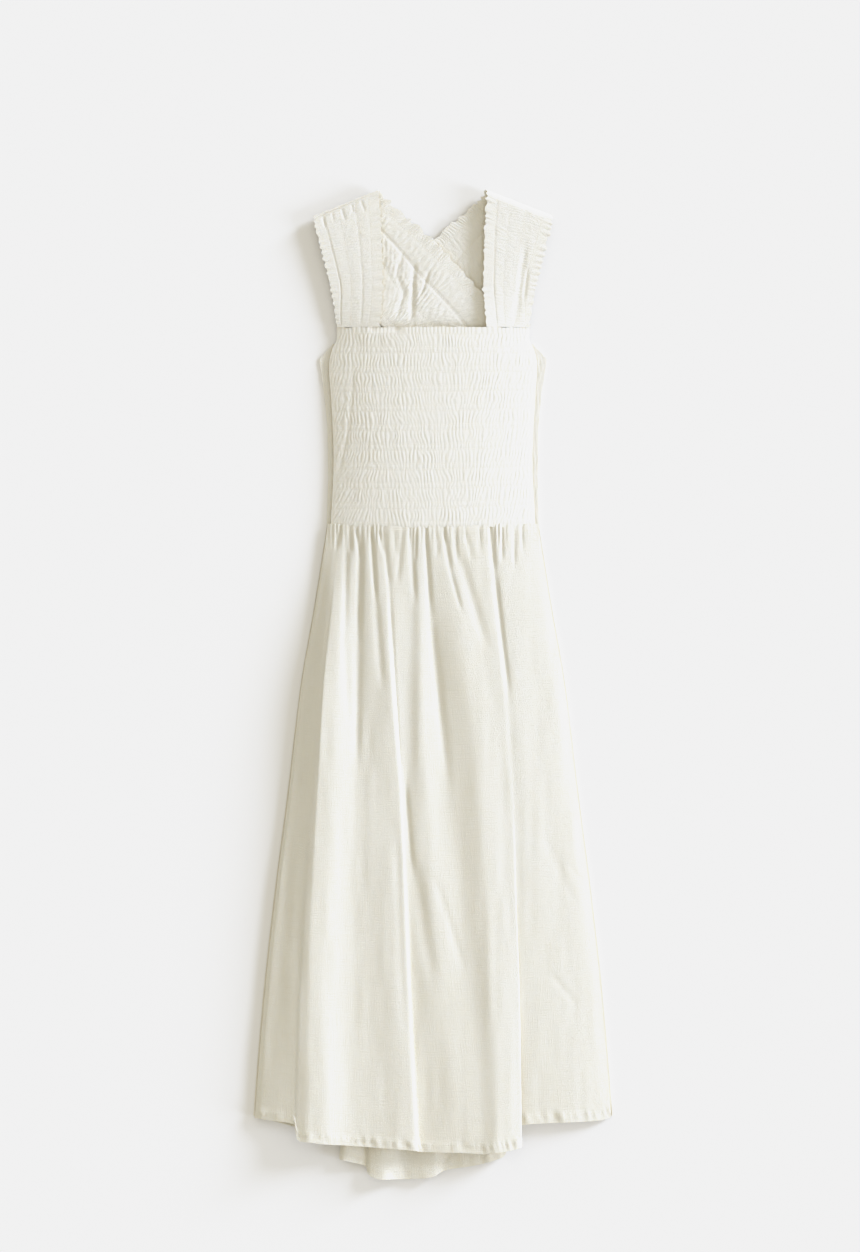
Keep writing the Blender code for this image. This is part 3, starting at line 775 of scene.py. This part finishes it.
# %% The two straps
FRONT_FRILL_PITCH = 12.0
BACK_FRILL_PITCH = 23.0
FRONT_FRILL_REACH = 2.6
BACK_FRILL_REACH = 5.0
FRILL_JAG = 0.8
FRILL_PLACE = 0.18
FRONT_FRILL_WAVE = 0.75
BACK_FRILL_WAVE = 1.1
FRONT_FRILL_LINE = 0.12
BACK_FRILL_LINE = 0.4
FRONT_STRAP_PITCH = 4.6
BACK_STRAP_PITCH = 9.0
FRONT_STRAP_PUCKER = 0.22
BACK_STRAP_PUCKER = 0.62
BACK_STRAP_LEAN = (-1.0, -3.2, -4.5)
ROW_WIDTH = 1.0
LEFT_ROW_DEPTH = (0.15, 0.22, 0.0, 0.6)
RIGHT_ROW_DEPTH = (0.45, 0.08, 0.05, 0.1)
BACK_ROW_DEPTH = (0.1, 0.65, 0.1, 0.2)
BACK_BAND_HEIGHT = (0.65, 1.1, 0.9)
FRILLS_APART = 300.0
STRAP_WEAVE = (0.1, 0.8)
STRAP_GRID = {"columns": 64, "rows": 640}
LEFT_STRAP_CREASES = (
    Crease("shoulder_line", -151, 395, -72, 429, 1.4, 1.5),
    Crease("shoulder_gather", -141, 398, -138, 384, 1.2, 0.6),
    Crease("shoulder_second", -129, 403, -127, 391, 1.1, 0.6),
    Crease("shoulder_third", -117, 408, -112, 393, 1.3, 0.7),
    Crease("shoulder_fourth", -104, 413, -102, 402, 1.1, 0.6),
    Crease("shoulder_fifth", -92, 418, -87, 404, 1.2, 0.7),
    Crease("deep", -24, 336, -27, 262, 3.2, 1.7),
    Crease("beside_deep", -40, 350, -46, 322, 2.4, 0.8),
    Crease("beside_deep_low", -46, 322, -36, 296, 2.4, 0.8),
    Crease("low", -36, 304, -46, 270, 2.0, 0.8),
    Crease("right_of_deep", -5, 328, -16, 296, 2.0, 1.1),
)
RIGHT_STRAP_CREASES = (
    Crease("front_long", 118, 362, 105, 262, 4.2, 0.9),
    Crease("front_short", 121, 330, 116, 290, 2.4, 0.7),
)


def strap_relief(width, along, inner, front, row_depth, seed):
    """Puckers between the strap's rows of elastic. width runs from 0 to 1 between the frills."""
    rows = np.array(STRAP_ROWS)
    number = np.clip(np.searchsorted(rows, width, side="right") - 1, 0, len(rows) - 2)
    place = np.clip((width - rows[number]) / (rows[number + 1] - rows[number]), 0, 1)
    puff = np.sin(math.pi * place) ** 0.5
    pitch = FRONT_STRAP_PITCH + (BACK_STRAP_PITCH - FRONT_STRAP_PITCH) * (front < 0.5)
    lean = np.array(BACK_STRAP_LEAN)[number] * (front < 0.5) + 0.5 * uneven(along / 40, number, seed)
    wander = 0.7 * uneven(along / 15, number * 2.3 + place, seed + 1)
    phase = along / pitch + lean * place + 0.4 * number + wander
    ridge = np.abs(np.sin(math.pi * phase))
    own = 0.65 + 0.5 * uneven(np.floor(phase) * 0.61, number * 0.83, seed + 2)
    fine = 0.5 * uneven(along / 3.1, width * inner / 3.4, seed + 3)
    back_height = BACK_STRAP_PUCKER * np.array(BACK_BAND_HEIGHT)[number]
    height = np.where(front > 0.5, FRONT_STRAP_PUCKER, back_height)
    groove = np.zeros(width.shape)
    for row, front_depth, back_depth in zip(STRAP_ROWS, row_depth, BACK_ROW_DEPTH):
        depth = np.where(front > 0.5, front_depth, back_depth)
        groove += depth * np.exp(-(((width - row) * inner / ROW_WIDTH) ** 2))
    return height * puff * (0.3 + ridge * own + fine) - groove


def frill_relief(along, free, front, seed):
    """Height and outward reach of a frill. free is 0 at its root and 1 at its free edge."""
    pitch = FRONT_FRILL_PITCH + (BACK_FRILL_PITCH - FRONT_FRILL_PITCH) * (front < 0.5)
    reach = FRONT_FRILL_REACH + (BACK_FRILL_REACH - FRONT_FRILL_REACH) * (front < 0.5)
    phase = along / pitch + 0.9 * uneven(along / 19, 0.5, seed)
    own = 0.6 + 0.6 * uneven(along / pitch, 2.5, seed + 1)
    lobe = 0.5 + 0.5 * np.sin(2 * math.pi * phase)
    jag = uneven(along / 3.2, 0.5, seed + 3)
    lines = np.abs(np.sin(math.pi * (along / 4.3 + 0.9 * uneven(along / 9, free * 1.5, seed + 2))))
    wave = np.where(front > 0.5, FRONT_FRILL_WAVE, BACK_FRILL_WAVE)
    line = np.where(front > 0.5, FRONT_FRILL_LINE, BACK_FRILL_LINE)
    height = wave * own * (lobe - 0.4) * free**1.2
    height += line * (lines - 0.5) * np.sin(math.pi * free) ** 0.5
    return height, (reach * (own * lobe - 0.35) + FRILL_JAG * jag) * free**1.5


def reach_across(place, free, width, wider, span, v):
    """How far across the strap a place lies, as a share of the span from the neck edge to the arm edge."""
    neck_inset = FRILL_WIDTH / span
    arm_inset = neck_inset * (0.4 + 0.6 * smooth_step(0, 0.16, v))
    outward = np.where(place < 0.5, -1.0, 1.0)
    frill = free * np.where(place < 0.5, neck_inset, arm_inset)
    return neck_inset + (1 - arm_inset - neck_inset) * width + outward * (frill + wider / span)


def strap_shape(side, upper, seed, creases, row_depth):
    def shape(u, v):
        place = u if side > 0 else 1 - u
        neck, arm = strap_edges(v[:, 0], upper)
        span = np.linalg.norm(arm - neck, axis=1)[:, None]
        free = np.clip(np.maximum(FRILL_PLACE - place, place - 1 + FRILL_PLACE) / FRILL_PLACE, 0, 1)
        width = np.clip((place - FRILL_PLACE) / (1 - 2 * FRILL_PLACE), 0, 1)
        along = v * STRAP_LENGTH
        front = 1 - smooth_step(SHOULDER_SHARE - 0.02, SHOULDER_SHARE + 0.02, v)
        edge = np.where(place < 0.5, 0.0, FRILLS_APART)
        lift, wider = frill_relief(along + edge, free, front, seed)
        reach = reach_across(place, free, width, wider, span, v)
        points = neck[:, None] + (arm - neck)[:, None] * reach[..., None]
        points = points * np.array([-side, 1, 1])
        normal = normals_of(points)
        ends = smooth_step(0.0, 0.02, v) * (1 - smooth_step(0.94, 0.99, v))
        up = np.where(front > 0.5, 1.0, -1.0) * np.abs(2 * front - 1)
        inner = span - 2 * FRILL_WIDTH
        relief = strap_relief(width, along, inner, front, row_depth, seed + 10) * (free == 0) + lift
        relief -= crease_depth(points, creases)
        points = points + normal * (relief * ends * up)[..., None]
        points[..., 2] = np.maximum(points[..., 2], CLOTH / 2 + FLOOR_CLEARANCE)
        return points

    return shape


left_shape = strap_shape(-1, 1.0, 101, LEFT_STRAP_CREASES, LEFT_ROW_DEPTH)
right_shape = strap_shape(1, 0.0, 121, RIGHT_STRAP_CREASES, RIGHT_ROW_DEPTH)
strap_left, strap_left_points = cloth_piece(
    "left_strap", **STRAP_GRID, shape=left_shape, flat=STRAP_WEAVE, material=SMOCKED
)
strap_right, strap_right_points = cloth_piece(
    "right_strap", **STRAP_GRID, shape=right_shape, flat=STRAP_WEAVE, material=SMOCKED
)
for strap, node in ((strap_left, "strap_left"), (strap_right, "strap_right")):
    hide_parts(node)

# %% [markdown]
# Stitches are what a close look at cotton finds first. One stitch is Blender's own ball, drawn out into a
# short rounded stick. A row of stitches is many copies of it, laid along a line of points on the cloth
# with a small gap between two, and all of a piece's rows are joined in one mesh. They run along the turned
# hems and along the rows of elastic.

# %% Stitches
STITCH_LENGTH = 2.5
STITCH_STEP = 3.5
STITCH_WIDTH = 0.4
STITCH_LIFT = 0.05
SHORTEST_RUN = 0.5
HEM_STITCH = 9.5


def one_stitch():
    """The points and faces of a ball that is one unit long, as the model for every stitch.

    Blender lists a new ball's faces in another order each time, so here they get an order of their own.
    """
    bpy.ops.mesh.primitive_uv_sphere_add(segments=6, ring_count=4, radius=0.5)
    ball = bpy.context.object
    points = np.array([vertex.co for vertex in ball.data.vertices])
    faces = [np.array(face.vertices) for face in ball.data.polygons]
    bpy.data.objects.remove(ball)
    return points, sorted(np.roll(face, -face.argmin()).tolist() for face in faces)


def line_on(points, rows, wall=CLOTH):
    """A line over a grid of cloth points that crosses each column at its own row, on the upper face."""
    low = np.floor(rows).astype(int)
    part = (rows - low)[:, None]
    column = np.arange(points.shape[1])
    line = points[low, column] * (1 - part) + points[low + 1, column] * part
    return line + np.array([0, 0, wall / 2 + STITCH_LIFT])


def stitch_between(model, start, end):
    """The stitch's points, drawn out from one place to another in millimetres."""
    run = end - start
    side = np.cross([0, 0, 1], run)
    side /= max(np.linalg.norm(side), SHORTEST_RUN)
    up = np.cross(run, side) / max(np.linalg.norm(run), SHORTEST_RUN)
    turned = model @ np.array([run, side * STITCH_WIDTH, up * STITCH_WIDTH])
    return (start + end) / 2 + turned


def thread_mesh(name, model, placed, sewn):
    """One mesh of all the stitches. The model's own outline is each stitch's UV map."""
    mesh = bpy.data.meshes.new(name)
    mesh.from_pydata(to_frame(np.concatenate(placed)), [], sewn)
    corners = np.zeros(len(mesh.loops), int)
    mesh.loops.foreach_get("vertex_index", corners)
    chart = mesh.uv_layers.new(name="UVMap")
    chart.data.foreach_set("uv", (model[corners % len(model), :2] * STITCH_LENGTH * MM).ravel())
    mesh.shade_smooth()
    mesh.materials.append(THREAD)
    return mesh


def stitches(name, lines):
    """Copies of one stitch along each line of points, joined in one mesh."""
    model, faces = one_stitch()
    placed, sewn = [], []
    for line in lines:
        gone = np.concatenate([[0], np.cumsum(np.linalg.norm(np.diff(line, axis=0), axis=1))])
        for start in np.arange(STITCH_STEP / 2, gone[-1] - STITCH_LENGTH, STITCH_STEP):
            reach = (start, start + STITCH_LENGTH)
            ends = np.transpose([np.interp(reach, gone, line[:, axis]) for axis in range(3)])
            sewn += [[corner + len(placed) * len(model) for corner in face] for face in faces]
            placed.append(stitch_between(model, *ends))
    thread = bpy.data.objects.new(name, thread_mesh(name, model, placed, sewn))
    bpy.context.scene.collection.objects.link(thread)
    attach(thread, "root")
    print(f"{name}: {len(placed)} stitches")
    return thread


def hem_line(points):
    """The stitched line above a skirt panel's hem."""
    drop = -points[0, :, 1]
    return line_on(points, HEM_STITCH / drop * (len(points) - 1))


def bodice_rows(points):
    """The rows of elastic on the front bodice: at the top of each band, and where its narrow part starts."""
    bands = bodice_bands(points[..., 0], points[..., 1])
    lines = []
    for row in sorted(number + part for number in range(SMOCKED_BANDS) for part in (0, TALL_SHARE)):
        level = [np.interp(-row, -column, np.arange(len(column))) for column in bands.T]
        lines.append(line_on(points, np.clip(level, 0, len(points) - 1.01), wall=SMOCKED_CLOTH))
    return lines


def strap_rows(points, flipped):
    """The rows of elastic along a strap."""
    lines = []
    for row in STRAP_ROWS:
        place = FRILL_PLACE + (1 - 2 * FRILL_PLACE) * row
        place = 1 - place if flipped else place
        columns = np.full(len(points), place * (points.shape[1] - 1))
        lines.append(line_on(points.transpose(1, 0, 2), columns))
    return lines


front_hem = stitches("front_hem_stitches", [hem_line(skirt_front_points)])
back_hem = stitches("back_hem_stitches", [hem_line(skirt_back_points)])
bodice_thread = stitches("bodice_row_stitches", bodice_rows(bodice_front_points))
left_thread = stitches("left_strap_stitches", strap_rows(strap_left_points, True))
right_thread = stitches("right_strap_stitches", strap_rows(strap_right_points, False))

# %% [markdown]

# %% [markdown]
# The floor is one large plane.

# %% Floor
FLOOR_SIZE = 40.0
FLOOR_DROP = 0.0002
FLOOR_COLOUR = (0.912, 0.918, 0.945)
FLOOR_GLOSS = 0.1
FLOOR_ROUGHNESS = 0.85
FLOOR_UNEVENNESS = 0.1
FLOOR_SPOTS = (3, 3)


def floor_material():
    material = bpy.data.materials.new("pale floor")
    material.use_nodes = True
    tree = material.node_tree
    shader = tree.nodes["Principled BSDF"]
    shader.inputs["Base Color"].default_value = (*FLOOR_COLOUR, 1)
    shader.inputs["Specular IOR Level"].default_value = FLOOR_GLOSS
    place = add(tree.nodes, "ShaderNodeTexCoord")
    noise = stretched_noise(tree, place.outputs["Object"], FLOOR_SPOTS, 2)
    uneven_part = math_node(tree, "MULTIPLY", noise, FLOOR_UNEVENNESS)
    rough = math_node(tree, "ADD", uneven_part, FLOOR_ROUGHNESS)
    tree.links.new(rough, shader.inputs["Roughness"])
    return material


bpy.ops.object.select_all(action="DESELECT")
bpy.ops.mesh.primitive_plane_add(size=FLOOR_SIZE, location=(0, 0, -FLOOR_DROP))
floor = bpy.context.object
floor.name = "floor"
floor.data.materials.append(floor_material())

# %% [markdown]
# The photo's light is a wide window on the right, low over the floor: slopes that face left go evenly
# grey, and the shadows on the floor are wide and soft. Two sun lamps with a wide angle stand for the
# window's halves, because suns light the whole floor evenly, and a warm pale sky fills the shadows. A sun
# lights the same from any place, so theirs only keeps them apart in the viewport.

# %% Light
KEY_ELEVATION = 12.0
KEY_HALVES = (
    ("window_upper", 34.0, 0.65, (2.0, 0.85, 2.0)),
    ("window_lower", -16.0, 0.35, (2.0, -0.4, 2.0)),
)
KEY_ANGLE = 16.0
KEY_STRENGTH = 4.95
KEY_COLOUR = (0.762, 0.835, 1.0)
SKY_STRENGTH = 0.52
SKY_COLOUR = (1.0, 0.945, 0.80)

for name, turn, share, place in KEY_HALVES:
    bpy.ops.object.light_add(type="SUN", location=place)
    key = bpy.context.object
    key.name = name
    key.data.energy = KEY_STRENGTH * share
    key.data.angle = math.radians(KEY_ANGLE)
    key.data.color = KEY_COLOUR
    key.rotation_euler = (0, math.radians(90 - KEY_ELEVATION), math.radians(turn))

world = bpy.data.worlds.new("sky")
bpy.context.scene.world = world
world.use_nodes = True
background = world.node_tree.nodes["Background"]
background.inputs["Color"].default_value = (*SKY_COLOUR, 1)
background.inputs["Strength"].default_value = SKY_STRENGTH

# %% [markdown]
# A photo of white cloth on white paper presses its brightest tones together, so that a fold that faces the
# lamp is hardly brighter than a flat one, while the shaded side still goes clearly darker. The scene's own
# curve does the same: straight up to near white, then a shoulder.

# %% The photo's tone curve
TONE_POINTS = ((0.0, 0.0), (0.58, 0.755), (0.65, 0.832), (0.71, 0.882), (0.80, 0.902), (1.0, 0.918))

view = bpy.context.scene.view_settings
view.view_transform = "Standard"
view.use_curve_mapping = True
tone = view.curve_mapping
tone.extend = "HORIZONTAL"
curve = tone.curves[3]
curve.points[0].location = TONE_POINTS[0]
curve.points[-1].location = TONE_POINTS[-1]
for point in TONE_POINTS[1:-1]:
    curve.points.new(*point)
tone.update()

# %% [markdown]
# The photo looks straight down. The camera stands five metres up with a long lens, so that the dress
# has hardly any perspective, and the frame's height is worked out from the photo's own scale.

# %% Camera
PHOTO_SIZE = (860, 1252)
MM_PER_PIXEL = 1.28
ORIGIN_PIXEL = (433, 684)
CAMERA_HEIGHT = 5.0
SENSOR = 36.0
CLIP_END = 60.0

frame_height = PHOTO_SIZE[1] * MM_PER_PIXEL * MM
centre_across = (PHOTO_SIZE[0] / 2 - ORIGIN_PIXEL[0]) * MM_PER_PIXEL * MM
centre_along = (ORIGIN_PIXEL[1] - PHOTO_SIZE[1] / 2) * MM_PER_PIXEL * MM
bpy.ops.object.camera_add(location=(centre_across, centre_along, CAMERA_HEIGHT), rotation=(0, 0, 0))
camera = bpy.context.object
camera.data.sensor_fit = "VERTICAL"
camera.data.sensor_height = SENSOR
camera.data.lens = SENSOR * CAMERA_HEIGHT / frame_height
camera.data.clip_end = CLIP_END
bpy.context.scene.camera = camera
